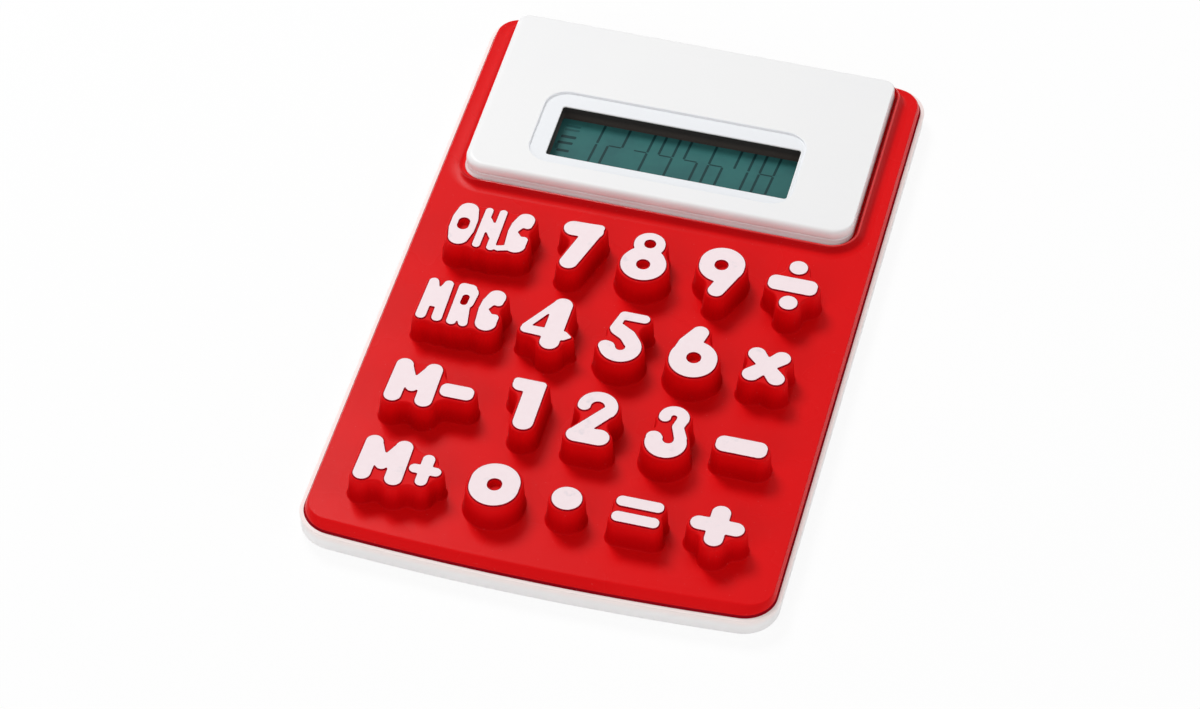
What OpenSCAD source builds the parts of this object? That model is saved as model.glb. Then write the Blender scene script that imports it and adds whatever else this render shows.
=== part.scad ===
// Soft pocket calculator: a red silicone key mat with digit-shaped keys on a white silicone base,
// and a rigid white display housing that clamps both sheets between a bezel and a rear cover.
// Millimetres. X runs along the key rows, Y towards the display, Z up. The base rests on Z = 0.

/* [Base] */
// Overall width of the white base
base_w = 78; // [77:0.5:84]
// Overall length of the white base, over the bowed front edge
base_l = 129; // [128:0.5:136]
// Height of the base up to its rim
base_h = 3.6; // [3.4:0.1:4.2]
// Corner radius of the base in plan
corner_r = 6.2; // [5:0.1:8]
// How far the front edge bows out in the middle
front_bow = 1.2; // [0.8:0.1:2]
// Width of the white ledge that shows around the red mat
rim = 0.6; // [0.4:0.1:0.8]

/* [Keypad] */
// Thickness of the red mat
mat_t = 1.7; // [1.6:0.1:2]
// Height of the keys above the mat
key_rise = 4.9; // [3.5:0.1:6]
// Travel of a key
key_travel = 0.9; // [0.5:0.1:1]
// Clearance between a key's foot and the mat
key_gap = 0.25; // [0.2:0.05:0.3]
// Width of a key's foot around its figure
foot_margin = 0.9; // [0.7:0.1:1]
// Red outline left around a key's printed figure
outline_w = 0.2; // [0.1:0.05:0.3]
// Depth of the round eyes in figures such as 8 and 0
eye_depth = 1.2; // [0.6:0.1:3]
// Radius of the bead that runs around the display
bead_r = 0.75; // [0.6:0.05:0.75]

/* [Display] */
// Width of the display bezel
bezel_w = 67.8; // [67:0.2:70]
// Length of the display bezel
bezel_l = 41.8; // [41.4:0.2:43]
// Height of the bezel above the mat
bezel_rise = 2.85; // [2.6:0.05:3.4]
// Radius of the bezel's top edge
bezel_edge = 1.9; // [1.2:0.1:2.2]
// Corner radius of the bezel in plan
bezel_corner = 4; // [3:0.1:5]
// Share of the bezel's width that the display window takes
window_part = 0.62; // [0.58:0.01:0.63]
// Length of the display window
window_l = 12.5; // [11.5:0.1:12.8]
// Flat margin of the sunk panel around the window
panel_margin = 2.75; // [2:0.05:3]
// Depth of the sunk panel
panel_depth = 0.4; // [0.3:0.1:1.2]

/* [Inside] */
// Thickness of each display glass
glass_t = 0.7; // [0.5:0.1:0.8]
// Thickness of the circuit board
board_t = 0.8; // [0.6:0.1:0.8]
// Diameter of the button cell
cell_d = 11.6; // [9.5:0.1:11.6]
// Height of the button cell
cell_h = 3.05; // [2.1:0.05:3.1]
// Length of the screws under the head
screw_l = 4.5; // [3.5:0.1:4.8]

/* [Hidden] */
$fn = 64;
red = [0.86, 0.15, 0.16];
white = [0.95, 0.95, 0.95];
black = [0.07, 0.07, 0.08];
steel = [0.74, 0.75, 0.77];

mat_top = base_h + mat_t;
key_top = mat_top + key_rise;
half_chord = base_w / 2 - corner_r;
bow_r = (half_chord * half_chord + front_bow * front_bow) / (2 * front_bow);

weld = 0.2;
film_t = 0.2;
film_gap = 0.15;
film_side = 6;
film_back = 8;
film_front = 7;
tail_w = 24;
tail_in = 0.7;
tail_l = 3.8;
pill_t = 0.3;
pill_r = 1.6;
contact_gap = 0.05;
foot_z = base_h + key_travel + contact_gap + pill_t;
foot_r = 2;
snug = 0.995;

bezel_back = 2.5;
bezel_y = base_l / 2 - bezel_back - bezel_l / 2;
bezel_front = bezel_y - bezel_l / 2;
bezel_top = mat_top + bezel_rise;
roof_t = 1.6;
roof_z = bezel_top - roof_t;
wall_t = 1.4;
flange = 2.9;
open_w = bezel_w - 2 * flange;
open_l = bezel_l - 2 * flange;
open_r = 2.5;
skirt_gap = 0.3;
skirt_t = 1;
bead_gap = 0.3;
bead_sink = 0.3;
bead_off = bead_r + bead_gap;
window_w = window_part * bezel_w;
window_r = 0.5;
panel_r = 2.9;
panel_shift = 0.6;

cover_lip = 1.8;
cover_z = 0.2;
cover_t = 1.6;
cover_top = cover_z + cover_t;
cover_gap = 0.2;
door_t = 0.9;
door_gap = 0.2;

boss_r = 2.1;
boss_in = 4;
boss_x = open_w / 2 - boss_in;
boss_y = open_l / 2 - boss_in;
screw_r = 0.7;
pilot_r = 0.8;
shank_hole_r = 0.9;
head_r = 1.6;
head_t = 0.5;
head_gap = 0.2;
cross_l = 1.8;
cross_w = 0.4;
cross_d = 0.35;

board_edge = 1.5;
board_top = cover_top + board_t;
boss_clear = 0.5;

glass_side = 2;
ledge = 1.9;
pad_t = 0.5;
reflector_t = 0.25;
polariser_t = 0.2;
reflector_z = board_top + pad_t;
rear_glass_z = reflector_z + reflector_t;
front_glass_z = rear_glass_z + glass_t;
polariser_z = front_glass_z + glass_t;
gasket_z = polariser_z + polariser_t;
glass_w = window_w + 2 * glass_side;
glass_back = 1.2;
glass_share = 0.32;
skirt_in = bezel_front + flange + skirt_gap + skirt_t;
cell_off = 9.2;
cell_y = bezel_y + cell_off;
glass_spare = cell_y - cell_d / 2 - skirt_in - glass_side - window_l - glass_back - ledge;
glass_y0 = skirt_in + glass_share * glass_spare;
window_y = glass_y0 + glass_side + window_l / 2;
glass_y1 = window_y + window_l / 2 + glass_back;
plate_in = 0.3;
gasket_gap = 0.3;
zebra_in = 3;
zebra_gap = 0.2;
pad_in = 2;
pad_front = 2.6;

cell_x = 15;
cell_z = cover_z + door_t;
cell_gap = 0.3;
cap_h = 0.3;
cap_in = 1.2;
board_hole_gap = 0.5;
door_screw_in = 2.8;
door_tab = 2.9;
door_rim = 1.7;
door_side = 1.4;
door_r = 1.3;
door_screw_x = cell_x - cell_d / 2 - door_screw_in;
door_x0 = door_screw_x - door_tab;
door_x1 = cell_x + cell_d / 2 + door_rim;
door_l = cell_d + 2 * door_side;
post_r = 1.7;
post_clear = 0.3;
post_room = 0.6;
strip_t = 0.2;
strip_w = 2.8;
strip_in = 4.8;
strip_foot = 3;
clip_foot = 3.6;
clip_h = 1.2;
clip_gap = 0.05;
chip_r = 4.2;
chip_h = 1.4;
chip_off = 0.5;
chip_x = -boss_x / 2 - chip_off;

words_part = 0.314;
digits_part = 0.1205;
pitch_part = 0.1551;
words_x = -words_part * base_w;
digits_x = -digits_part * base_w;
col_pitch = pitch_part * base_w;
row_gap = 15.6;
row_drop = [0, 18.9, 37.7, 55.6];
function col_x(i) = i == 0 ? words_x : digits_x + (i - 1) * col_pitch;
function row_y(i) = bezel_front - row_gap - row_drop[i];

// A figure is drawn with a round pen that may taper along a stroke: [x1, y1, r1, x2, y2, r2].
// Arcs are [x, y, radius, pen, from, to], bars [x, y, width, height, corner] and eyes like strokes.
function big_m(x) = [
    [x - 2.4, 3.45, 1.4, x - 2.55, -3.45, 1.4],
    [x + 2.5, 3.45, 1.4, x + 2.6, -3.45, 1.4],
    [x - 2.3, 3.4, 1.25, x, -1, 1],
    [x + 2.4, 3.4, 1.25, x, -1, 1]
];
function thin_m(x, y) = [
    [x - 1.25, y + 3.95, 0.8, x - 1.35, y - 3.95, 0.85],
    [x + 1.25, y + 3.95, 0.8, x + 1.35, y - 3.95, 0.85],
    [x - 1.15, y + 3.8, 0.75, x, y + 0.3, 0.75],
    [x + 1.2, y + 3.8, 0.75, x, y + 0.3, 0.75],
    [x - 0.4, y - 0.9, 0.8, x + 0.4, y - 0.9, 0.8]
];
function thin_r(x, y) = [
    [x - 0.95, y + 4, 0.85, x - 0.95, y - 4.1, 0.8],
    [x - 0.95, y + 4, 0.85, x + 0.3, y + 3.85, 0.95],
    [x + 0.15, y + 2.85, 1.6, x + 0.05, y + 0.6, 1.5],
    [x, y - 0.6, 1.2, x + 1, y - 4.1, 0.75]
];
function thin_c(x, y) = [
    [x + 0.4, y + 3.4, 1.55, x - 1.05, y + 0.1, 0.8],
    [x - 1.05, y + 0.1, 0.8, x + 0.15, y - 2.85, 1.75],
    [x + 0.75, y + 3.2, 1.15, x + 1.2, y + 2.1, 0.65],
    [x + 0.05, y - 1.5, 0.8, x + 1, y - 1.2, 0.75],
    [x + 1, y - 1.2, 0.75, x + 0.6, y - 2.7, 1.25]
];
function thin_o(x) = [
    [x, 3.3, 1.7, x, 1.2, 2.15],
    [x, 1.2, 2.15, x, -1.2, 2.15],
    [x, -1.2, 2.15, x, -3.3, 1.7]
];
function thin_n(x) = [
    [x - 1.2, 4.1, 0.65, x - 1.3, -4.25, 0.65],
    [x + 1.2, 4.2, 0.65, x + 1.2, -4.3, 0.7],
    [x - 1, 1.7, 0.9, x + 1, -1.5, 0.9]
];

// Key: [name, column, row, offset, figure size, strokes, arcs, bars, eyes]
KEYS = [
    ["on", 0, 0, [-0.15, -0.15], [13.5, 10],
        concat(thin_o(-4.6), thin_n(0), thin_c(4.85, 0.1), [[2.4, -4.2, 0.6, 4, -3.7, 0.6]]),
        [], [], [[-4.6, -0.75, 0.9, -4.6, 0.75, 0.9]]],
    ["seven", 1, 0, [-0.15, -0.15], [6.7, 11.4],
        [[-1.65, 3.8, 1.68, 1.7, 3.9, 1.68], [1.7, 3.9, 1.55, -0.55, -4.2, 1.5],
         [-1.5, 4.7, 0.75, 2.65, 4.95, 0.7], [2.65, 4.95, 0.7, 1.9, 1.5, 0.7]],
        [], [], []],
    ["eight", 2, 0, [-0.75, 0.3], [7.6, 11.4],
        [[-0.05, 3.05, 2.6, -0.05, 2.8, 2.6], [0, -1.85, 3.8, 0, -1.35, 3.55]],
        [], [], [[0, 3.1, 1, 0, 3, 1], [0, -1.9, 1.17, 0, -2, 1.17]]],
    ["nine", 3, 0, [-0.2, 0], [7.5, 11.6],
        [[0, 2, 3.75, 0, 1.4, 3.75], [2.25, 1, 1.45, 0.35, -4.4, 1.36]],
        [], [], [[-0.1, 1.75, 1.17, -0.1, 1.6, 1.17]]],
    ["divide", 4, 0, [0, 0.2], [8.2, 11.7],
        [[0.1, 4.3, 1.5, 0.1, 4.15, 1.5], [0.15, -4.15, 1.5, 0.15, -4.3, 1.5]],
        [], [[0, 0, 8.2, 3.4, 1.3]], []],
    ["recall", 0, 1, [0, 0.25], [13.4, 9.9],
        concat(thin_m(-4.5, 0), thin_r(0.3, 0), thin_c(4.75, -0.25)), [], [],
        [[0.27, 1.75, 0.62, 0.22, 0.5, 0.62]]],
    ["four", 1, 1, [-0.25, 0], [8.5, 12],
        [[1.25, 4.4, 1.58, 1.15, -4.3, 1.6], [0.45, 4.85, 0.6, -3.5, -1.75, 0.6],
         [-3.3, -2.3, 0.9, 2.8, -2.4, 1.05], [2.8, -2.4, 1.05, 4.1, -2.4, 0.2]],
        [], [], []],
    ["five", 2, 1, [0, 0], [6.9, 11.5],
        [[-0.75, 4.8, 0.93, 2.5, 4.8, 0.93], [-1.05, 4.9, 0.6, -1.75, 1.6, 0.75],
         [-1, 1.5, 1.35, 0.7, 0.5, 1.35], [0.7, 0.5, 1.35, 1.75, -0.85, 1.35],
         [-1.6, -3.15, 1.05, -2.2, -2.65, 1.2]],
        [[0.15, -2.25, 2.15, 1.3, -165, 40]], [], []],
    ["six", 3, 1, [0.1, -0.15], [7.9, 11.7],
        [[0, -1.95, 3.9, 0, -1.5, 3.9], [-0.2, 4.45, 1.4, -1.35, 1.4, 1.85],
         [-1.35, 1.4, 1.85, -1.8, -1, 1.9]],
        [], [], [[0.05, -1.35, 1.22, 0.05, -1.45, 1.22]]],
    ["times", 4, 1, [-0.15, -0.3], [7, 7.6],
        [[-2.05, 2.35, 1.45, 0, 0, 1.15], [2.05, 2.35, 1.45, 0, 0, 1.15],
         [-2.05, -2.35, 1.45, 0, 0, 1.15], [2.05, -2.35, 1.45, 0, 0, 1.15]],
        [], [], []],
    ["memory_minus", 0, 2, [0.3, -0.1], [14, 9.7],
        big_m(-3.05), [], [[4.25, -0.25, 5.5, 2.9, 1.15]], []],
    ["one", 1, 2, [0.3, -0.1], [5.4, 11],
        [[1.05, 3.6, 1.65, 1.05, -3.85, 1.65], [-1.4, 4.05, 1.3, 1, 4.05, 1.3],
         [-1.95, 4.75, 0.75, 2, 4.75, 0.72], [2, 4.75, 0.7, 2, 1, 0.7]],
        [], [], []],
    ["two", 2, 2, [-0.1, -0.1], [7, 11.6],
        [[1.95, 1.85, 1.15, -1.85, -3.65, 1.2], [-1.95, -4.2, 1.5, 1.8, -3.95, 1.72]],
        [[0.05, 2.6, 2.2, 1.05, -24, 186]], [], []],
    ["three", 3, 2, [0, 0.1], [6.8, 11.6],
        [[1.4, 1.9, 0.9, 1.3, 1.1, 0.95], [1.3, 1.1, 0.95, 2.25, -1.1, 1.05],
         [-1, -3.7, 1.4, 1.2, -3.6, 1.4], [-2.05, -2.4, 1.15, -2.05, -1.65, 1.22]],
        [[0.2, 3.3, 1.48, 0.98, -40, 190], [0.12, -2.35, 2.22, 1.12, -178, 32]], [], []],
    ["minus", 4, 2, [-0.1, 0], [8.3, 3.4], [], [], [[0, 0, 8.3, 3.4, 1.35]], []],
    ["memory_plus", 0, 3, [0.1, 0.15], [13.6, 9.5],
        concat(big_m(-2.8), [[4.15, 1.95, 0.98, 4.15, -2.85, 0.95], [2.5, -0.4, 0.92, 5.85, -0.4, 0.92]]),
        [], [], []],
    ["zero", 1, 3, [0.5, -0.3], [7.9, 9],
        [[0, 0.54, 3.95, 0, -0.54, 3.95]], [], [], [[0, 0.12, 1.2, 0, -0.12, 1.2]]],
    ["point", 2, 3, [0.1, -0.15], [4.84, 4.84], [[0, 0.02, 2.4, 0, -0.02, 2.4]], [], [], []],
    ["equals", 3, 3, [-0.6, 0], [7.6, 5.5],
        [], [], [[0, 1.67, 7.6, 2.12, 0.95], [0, -1.67, 7.6, 2.12, 0.95]], []],
    ["plus", 4, 3, [0, 0.4], [8.7, 8.6],
        [[-2.9, 0, 1.42, 2.9, 0, 1.42], [0, 2.8, 1.5, 0, -2.8, 1.5]], [], [], []]
];

// Plan of the body, drawn in by a margin: straight sides and back, bowed front, round corners.
module plan(in) {
    r = corner_r - in;
    w = base_w - 2 * in;
    l = base_l - 2 * in;
    big = bow_r - in;
    mid = big - l / 2;
    yc = mid - sqrt((big - r) * (big - r) - half_chord * half_chord);
    xt = half_chord * big / (big - r);
    for (s = [-1, 1]) {
        translate([s * half_chord, l / 2 - r]) circle(r);
        translate([s * half_chord, yc]) circle(r);
    }
    translate([-w / 2, yc]) square([w, l / 2 - r - yc]);
    translate([-half_chord, yc]) square([2 * half_chord, l / 2 - yc]);
    intersection() {
        translate([0, mid]) circle(big, $fn = 720);
        translate([-xt, -l / 2]) square([2 * xt, l / 2 + yc]);
    }
}

module round_rect(w, l, r) {
    square([w - 2 * r, l], center = true);
    square([w, l - 2 * r], center = true);
    for (x = [-1, 1], y = [-1, 1]) {
        translate([x * (w / 2 - r), y * (l / 2 - r)]) circle(r);
    }
}

module slab(w, l, r, z0, z1) {
    translate([0, 0, z0]) linear_extrude(z1 - z0) round_rect(w, l, r);
}

// Half of a wall section with a rounded top edge, from the middle out to half width a.
module edge_half(a, h, f) {
    square([a - f, h]);
    square([a, h - f]);
    translate([a - f, h - f]) intersection() {
        circle(f);
        square(f);
    }
}

module edge_full(a, h, f) {
    edge_half(a, h, f);
    mirror([1, 0]) edge_half(a, h, f);
}

// Rounded rectangle with a rounded top edge, standing on Z = 0.
module pillow(w, l, r, h, f) {
    translate([w / 2 - r, 0, 0]) rotate([90, 0, -90]) linear_extrude(w - 2 * r) edge_full(l / 2, h, f);
    translate([0, l / 2 - r, 0]) rotate([90, 0, 0]) linear_extrude(l - 2 * r) edge_full(w / 2, h, f);
    for (x = [-1, 1], y = [-1, 1]) {
        translate([x * (w / 2 - r), y * (l / 2 - r), 0]) rotate_extrude() edge_half(r, h, f);
    }
}

// Bead of round section that follows a rounded rectangle.
module bead(w, l, r, pen) {
    for (s = [-1, 1]) {
        translate([s * w / 2, l / 2 - r, 0]) rotate([90, 0, 0]) cylinder(r = pen, h = l - 2 * r);
        translate([r - w / 2, s * l / 2, 0]) rotate([0, 90, 0]) cylinder(r = pen, h = w - 2 * r);
    }
    for (q = [[1, 1, 0], [-1, 1, 90], [-1, -1, 180], [1, -1, 270]]) {
        translate([q[0] * (w / 2 - r), q[1] * (l / 2 - r), 0]) rotate([0, 0, q[2]])
            rotate_extrude(angle = 90) translate([r, 0]) circle(pen);
    }
}

module stroke(s, g) {
    a = [s[0], s[1]];
    b = [s[3], s[4]];
    ra = s[2] + g;
    rb = s[5] + g;
    d = norm(b - a);
    u = (b - a) / d;
    c = (ra - rb) / d;
    t = sqrt(1 - c * c);
    n = [-u[1], u[0]];
    p = snug * (c * u + t * n);
    q = snug * (c * u - t * n);
    polygon([a + ra * p, a + ra * q, b + rb * q, b + rb * p]);
    translate(a) circle(ra);
    translate(b) circle(rb);
}

module arc_stroke(s, g) {
    far = 3 * s[2];
    step = (s[5] - s[4]) / 8;
    translate([s[0], s[1]]) {
        intersection() {
            difference() {
                circle(s[2] + s[3] + g);
                circle(s[2] - s[3] - g);
            }
            polygon(concat([[0, 0]], [for (i = [0:8]) far * [cos(s[4] + i * step), sin(s[4] + i * step)]]));
        }
        for (e = [s[4], s[5]]) {
            translate(s[2] * [cos(e), sin(e)]) circle((s[3] + g) / snug);
        }
    }
}

// Outline of a key's figure with every edge moved out by g.
module figure(k, g) {
    for (s = k[5]) stroke(s, g);
    for (s = k[6]) arc_stroke(s, g);
    for (s = k[7]) translate([s[0], s[1]]) round_rect(s[2] + 2 * g, s[3] + 2 * g, s[4] + g);
}

module at_key(k) {
    translate([col_x(k[1]) + k[3][0], row_y(k[2]) + k[3][1], 0]) children();
}

module foot(k, extra, z0, z1) {
    m = 2 * (outline_w + foot_margin + extra);
    slab(k[4][0] + m, k[4][1] + m, foot_r + extra, z0, z1);
}

module key(k) {
    color(red) at_key(k) {
        foot(k, 0, foot_z, mat_top);
        difference() {
            translate([0, 0, foot_z]) linear_extrude(key_top - foot_z) figure(k, outline_w);
            for (s = k[8]) {
                translate([0, 0, key_top - eye_depth]) linear_extrude(2 * eye_depth) stroke(s, -outline_w);
            }
        }
    }
}

module pill(k) {
    color(black) at_key(k) translate([0, 0, foot_z - pill_t]) cylinder(r = pill_r, h = pill_t);
}

module film_plan(extra) {
    y1 = row_y(0) + film_back;
    y0 = row_y(3) - film_front;
    w = base_w - 2 * film_side + 2 * extra;
    tail_y = bezel_y - open_l / 2 + tail_in + film_t;
    translate([0, (y0 + y1) / 2]) square([w, y1 - y0 + 2 * extra], center = true);
    translate([-tail_w / 2 - extra, y1]) square([tail_w + 2 * extra, tail_y - y1]);
}

module at_bosses() {
    for (x = [-1, 1], y = [-1, 1]) {
        translate([x * boss_x, bezel_y + y * boss_y, 0]) children();
    }
}

module base_tray() {
    color(white) difference() {
        linear_extrude(base_h) plan(0);
        translate([0, bezel_y, 0]) slab(open_w, open_l, open_r, -1, base_h + 1);
        translate([0, bezel_y, 0]) slab(open_w + 2 * cover_lip, open_l + 2 * cover_lip, open_r, -1, cover_top);
        translate([0, 0, base_h - film_t]) linear_extrude(1) film_plan(film_gap);
    }
}

module keypad_mat() {
    color(red) difference() {
        union() {
            translate([0, 0, base_h]) linear_extrude(mat_t) plan(rim);
            translate([0, bezel_y, mat_top - bead_sink])
                bead(bezel_w + 2 * bead_off, bezel_l + 2 * bead_off, bezel_corner + bead_off, bead_r);
        }
        translate([0, bezel_y, 0]) slab(open_w, open_l, open_r, 0, mat_top + 1);
        for (k = KEYS) at_key(k) foot(k, key_gap, 0, mat_top + 1);
    }
}

module display_bezel() {
    in_w = bezel_w - 2 * wall_t;
    in_l = bezel_l - 2 * wall_t;
    skirt_w = open_w - 2 * skirt_gap;
    skirt_l = open_l - 2 * skirt_gap;
    color(white) translate([0, bezel_y, 0]) difference() {
        union() {
            difference() {
                translate([0, 0, mat_top]) pillow(bezel_w, bezel_l, bezel_corner, bezel_rise, bezel_edge);
                slab(in_w, in_l, bezel_corner - wall_t, mat_top - 1, roof_z);
            }
            difference() {
                slab(skirt_w, skirt_l, open_r - skirt_gap, base_h + skirt_gap, roof_z + weld);
                slab(skirt_w - 2 * skirt_t, skirt_l - 2 * skirt_t, open_r - skirt_gap - skirt_t, 0, bezel_top);
            }
            translate([0, -bezel_y, 0]) at_bosses()
                translate([0, 0, cover_top]) cylinder(r = boss_r, h = roof_z + weld - cover_top);
        }
        translate([0, window_y - bezel_y, 0]) {
            translate([0, panel_shift, 0])
                slab(window_w + 2 * panel_margin, window_l + 2 * panel_margin, panel_r, bezel_top - panel_depth,
                     bezel_top + 1);
            slab(window_w, window_l, window_r, roof_z - 1, bezel_top + 1);
        }
        translate([0, -bezel_y, 0]) at_bosses()
            translate([0, 0, cover_top - 1]) cylinder(r = pilot_r, h = screw_l + head_t);
    }
}

module rear_cover() {
    w = open_w + 2 * (cover_lip - cover_gap);
    l = open_l + 2 * (cover_lip - cover_gap);
    color(white) difference() {
        union() {
            translate([0, bezel_y, 0]) slab(w, l, open_r - cover_gap, cover_z, cover_top);
            translate([door_screw_x, cell_y, cover_top - weld])
                cylinder(r = post_r, h = roof_z - post_room - cover_top);
        }
        translate([0, 0, cover_z - 1]) {
            at_bosses() cylinder(r = shank_hole_r, h = cover_t + 2);
            at_bosses() cylinder(r = head_r + head_gap, h = 1 + head_t);
            translate([(door_x0 + door_x1) / 2, cell_y, 0])
                slab(door_x1 - door_x0 + 2 * door_gap, door_l + 2 * door_gap, door_r + door_gap, 0, 1 + door_t);
            translate([cell_x, cell_y, 0]) cylinder(r = cell_d / 2 + cell_gap, h = cover_t + 2);
            translate([door_screw_x, cell_y, 0]) cylinder(r = pilot_r, h = 1 + head_t + screw_l + weld);
        }
    }
}

module battery_door() {
    color(white) difference() {
        translate([(door_x0 + door_x1) / 2, cell_y, 0])
            slab(door_x1 - door_x0, door_l, door_r, cover_z, cover_z + door_t);
        translate([door_screw_x, cell_y, cover_z - 1]) {
            cylinder(r = shank_hole_r, h = door_t + 2);
            cylinder(r = head_r + head_gap, h = 1 + head_t);
        }
    }
}

module screw() {
    translate([0, 0, cover_z]) difference() {
        union() {
            cylinder(r = head_r, h = head_t);
            cylinder(r = screw_r, h = head_t + screw_l);
        }
        translate([0, 0, cross_d - 1]) linear_extrude(1) {
            square([cross_l, cross_w], center = true);
            square([cross_w, cross_l], center = true);
        }
    }
}

module screws() {
    color(steel) {
        at_bosses() screw();
        translate([door_screw_x, cell_y, 0]) screw();
    }
}

module contact_film() {
    y_in = bezel_y - open_l / 2 + tail_in;
    color([0.82, 0.84, 0.8]) {
        translate([0, 0, base_h - film_t]) linear_extrude(film_t) film_plan(0);
        translate([-tail_w / 2, y_in, board_top]) cube([tail_w, film_t, base_h - board_top]);
        translate([-tail_w / 2, y_in, board_top]) cube([tail_w, tail_l, film_t]);
    }
}

module circuit_board() {
    w = open_w - 2 * board_edge;
    l = open_l - 2 * board_edge;
    color([0.1, 0.36, 0.2]) difference() {
        translate([0, bezel_y, cover_top]) linear_extrude(board_t) {
            square([w, 2 * (boss_y - boss_r - boss_clear)], center = true);
            square([2 * (boss_x - boss_r - boss_clear), l], center = true);
        }
        translate([cell_x, cell_y, cover_top - 1]) cylinder(r = cell_d / 2 + board_hole_gap, h = board_t + 2);
        translate([door_screw_x, cell_y, cover_top - 1]) cylinder(r = post_r + post_clear, h = board_t + 2);
    }
}

module chip_cover() {
    ball = (chip_r * chip_r + chip_h * chip_h) / (2 * chip_h);
    color(black) translate([chip_x, cell_y, board_top]) rotate_extrude() intersection() {
        translate([0, chip_h - ball]) circle(ball);
        square([chip_r + 1, chip_h + 1]);
    }
}

module zebra_strip() {
    color([0.85, 0.55, 0.6]) translate([-glass_w / 2 + zebra_in, glass_y1 + zebra_gap, board_top])
        cube([glass_w - 2 * zebra_in, ledge - 2 * zebra_gap, front_glass_z - board_top]);
}

module glass_plate(z, t, y1, in) {
    translate([-glass_w / 2 + in, glass_y0 + in, z]) cube([glass_w - 2 * in, y1 - glass_y0 - 2 * in, t]);
}

module lcd_pad() {
    color(black) translate([-glass_w / 2 + pad_in, glass_y0 + pad_front, board_top])
        cube([glass_w - 2 * pad_in, glass_y1 - glass_y0 - 2 * pad_in, pad_t]);
}

module lcd_reflector() {
    color([0.72, 0.76, 0.7]) glass_plate(reflector_z, reflector_t, glass_y1, plate_in);
}

module lcd_rear_glass() {
    color([0.55, 0.68, 0.64]) glass_plate(rear_glass_z, glass_t, glass_y1, 0);
}

module lcd_front_glass() {
    color([0.55, 0.68, 0.64]) glass_plate(front_glass_z, glass_t, glass_y1 + ledge, 0);
}

module lcd_polariser() {
    color([0.24, 0.45, 0.44]) glass_plate(polariser_z, polariser_t, glass_y1, plate_in);
}

module lcd_gasket() {
    color(black) difference() {
        glass_plate(gasket_z, roof_z - gasket_z, glass_y1, plate_in);
        translate([0, window_y, 0])
            slab(window_w + 2 * gasket_gap, window_l + 2 * gasket_gap, window_r, gasket_z - 1, roof_z + 1);
        at_bosses() translate([0, 0, gasket_z - 1]) cylinder(r = boss_r + boss_clear, h = roof_z - gasket_z + 2);
    }
}

module button_cell() {
    color(steel) translate([cell_x, cell_y, cell_z]) {
        cylinder(d = cell_d, h = cell_h - cap_h);
        cylinder(d = cell_d - 2 * cap_in, h = cell_h);
    }
}

module positive_contact() {
    x0 = cell_x + cell_d / 2 + clip_gap;
    color(steel) translate([x0, cell_y - strip_foot / 2, board_top]) {
        cube([clip_foot, strip_foot, strip_t]);
        cube([strip_t, strip_foot, clip_h]);
    }
}

module negative_contact() {
    top = cell_z + cell_h;
    x0 = door_screw_x - strip_in;
    x1 = strip_foot - strip_t;
    color(steel) translate([x0, cell_y - strip_in, 0]) {
        translate([0, 0, board_top]) cube([strip_foot, strip_w, strip_t]);
        translate([x1, 0, board_top]) cube([strip_t, strip_w, top + strip_t - board_top]);
        translate([x1, 0, top]) cube([cell_x - x0 - x1, strip_w, strip_t]);
    }
}

base_tray();
keypad_mat();
display_bezel();
rear_cover();
battery_door();
screws();
contact_film();
circuit_board();
chip_cover();
zebra_strip();
lcd_pad();
lcd_reflector();
lcd_rear_glass();
lcd_front_glass();
lcd_polariser();
lcd_gasket();
button_cell();
positive_contact();
negative_contact();
for (k = KEYS) key(k);
for (k = KEYS) pill(k);
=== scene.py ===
# %% [markdown]
# # A soft pocket calculator, dressed for the camera
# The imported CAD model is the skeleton: it fixes every size and says what moves. This lesson loads it,
# then builds a finer skin over it: soft silicone, printed figures, a plastic bezel and a grey-green display.
# Lengths are in millimetres, as on a drawing, and turn into metres when a mesh or a finish is made. Only the
# camera, the floor and the lamps are placed in metres.

# %% Load the frame
import math
from typing import NamedTuple, Sequence

import bpy
import numpy as np
from mathutils import Matrix
from mathutils.geometry import delaunay_2d_cdt
from mathutils.kdtree import KDTree


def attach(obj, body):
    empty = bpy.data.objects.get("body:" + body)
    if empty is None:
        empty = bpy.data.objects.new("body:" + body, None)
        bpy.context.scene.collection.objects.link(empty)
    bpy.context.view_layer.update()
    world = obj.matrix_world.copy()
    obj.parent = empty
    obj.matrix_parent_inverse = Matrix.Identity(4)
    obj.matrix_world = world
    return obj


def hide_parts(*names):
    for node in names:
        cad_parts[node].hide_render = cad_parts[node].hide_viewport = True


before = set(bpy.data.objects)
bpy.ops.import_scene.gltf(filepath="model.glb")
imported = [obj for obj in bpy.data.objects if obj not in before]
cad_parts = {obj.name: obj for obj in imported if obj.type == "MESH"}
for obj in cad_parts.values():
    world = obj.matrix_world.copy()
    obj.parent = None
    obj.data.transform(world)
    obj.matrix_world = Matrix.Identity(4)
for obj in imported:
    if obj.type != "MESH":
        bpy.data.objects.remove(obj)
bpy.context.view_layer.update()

MM = 0.001

# %% [markdown]
# ## Camera
# The product was photographed with a long lens from in front, a little from the right and about 45 degrees up.
# Blender's camera looks along its own -Z, so its matrix has the picture's right, up and backward directions as
# columns. A long lens far away keeps the sides of the case nearly parallel, as in the photograph.

# %% Camera
RIGHT = (0.96972, 0.24297, 0.02450)
UP = (-0.19028, 0.68889, 0.69944)
BACK = (0.15307, -0.68293, 0.71427)
CAMERA_AT = (0.10507, -0.48734, 0.49981)
FOCAL_LENGTH, SENSOR_WIDTH = 127.04, 36


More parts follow.
